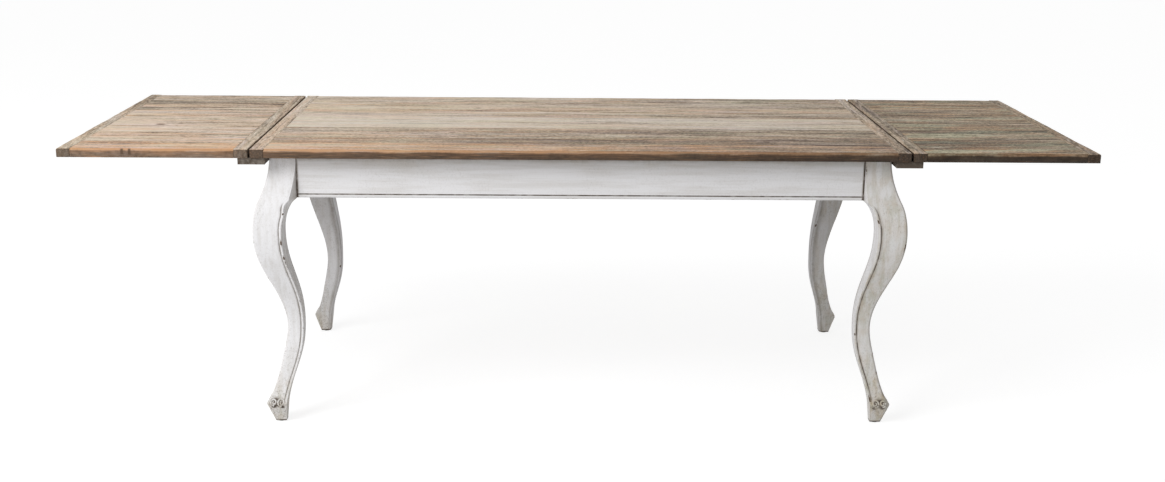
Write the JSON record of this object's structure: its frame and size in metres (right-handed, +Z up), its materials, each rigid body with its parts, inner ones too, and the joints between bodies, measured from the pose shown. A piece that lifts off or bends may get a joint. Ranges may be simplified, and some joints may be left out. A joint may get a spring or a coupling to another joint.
{
  "type": "extending dining table",
  "caption": "Dining table with a planked top, a pull-off leaf at each end on sliding bearers, beaded aprons and cabriole legs.",
  "frame": {"origin": "on the floor under the middle of the main top", "axes": "+X along the table towards the right leaf, +Y to the back, away from the camera, +Z up"},
  "size_m": [2.762, 0.9, 0.78],
  "materials": {
    "weathered_wood": "weathered grey-brown boards, matt, with worn edges",
    "painted_wood": "chalky off-white paint, rubbed through at the edges",
    "bare_wood": "sawn, unpainted",
    "steel": "zinc plated",
    "glide": "black, matt"
  },
  "bodies": {
    "table": {"apron_front": "painted_wood", "apron_left": "painted_wood", "apron_rear": "painted_wood", "apron_right": "painted_wood", "corner_block_front_left": "bare_wood", "corner_block_front_right": "bare_wood", "corner_block_rear_left": "bare_wood", "corner_block_rear_right": "bare_wood", "cross_rail_left": "bare_wood", "cross_rail_right": "bare_wood", "foot_glides": "glide", "leg_flange_nuts": "steel", "leg_front_left": "painted_wood", "leg_front_right": "painted_wood", "leg_hanger_bolts": "steel", "leg_rear_left": "painted_wood", "leg_rear_right": "painted_wood", "main_end_left": "weathered_wood", "main_end_right": "weathered_wood", "main_plank_1": "weathered_wood", "main_plank_2": "weathered_wood", "main_plank_3": "weathered_wood", "main_plank_4": "weathered_wood", "main_plank_5": "weathered_wood", "main_plank_6": "weathered_wood", "main_plank_7": "weathered_wood", "main_plank_8": "weathered_wood", "top_button_screws": "steel", "top_buttons": "bare_wood"},
    "left_leaf": {"left_leaf_bearer_front": "bare_wood", "left_leaf_bearer_rear": "bare_wood", "left_leaf_end_inner": "weathered_wood", "left_leaf_end_outer": "weathered_wood", "left_leaf_lap_batten_centre": "bare_wood", "left_leaf_lap_batten_front": "bare_wood", "left_leaf_lap_batten_rear": "bare_wood", "left_leaf_plank_1": "weathered_wood", "left_leaf_plank_2": "weathered_wood", "left_leaf_plank_3": "weathered_wood", "left_leaf_plank_4": "weathered_wood", "left_leaf_plank_5": "weathered_wood", "left_leaf_plank_6": "weathered_wood", "left_leaf_plank_7": "weathered_wood", "left_leaf_screws": "steel"},
    "right_leaf": {"right_leaf_bearer_front": "bare_wood", "right_leaf_bearer_rear": "bare_wood", "right_leaf_end_inner": "weathered_wood", "right_leaf_end_outer": "weathered_wood", "right_leaf_lap_batten_centre": "bare_wood", "right_leaf_lap_batten_front": "bare_wood", "right_leaf_lap_batten_rear": "bare_wood", "right_leaf_plank_1": "weathered_wood", "right_leaf_plank_2": "weathered_wood", "right_leaf_plank_3": "weathered_wood", "right_leaf_plank_4": "weathered_wood", "right_leaf_plank_5": "weathered_wood", "right_leaf_plank_6": "weathered_wood", "right_leaf_plank_7": "weathered_wood", "right_leaf_screws": "steel"}
  },
  "joints": [
    {"name": "left_leaf_pull", "type": "slide", "parent": "table", "child": "left_leaf", "axis": [-1, 0, 0], "range_m": [0, 0.48]},
    {"name": "right_leaf_pull", "type": "slide", "parent": "table", "child": "right_leaf", "axis": [1, 0, 0], "range_m": [0, 0.48]}
  ]
}
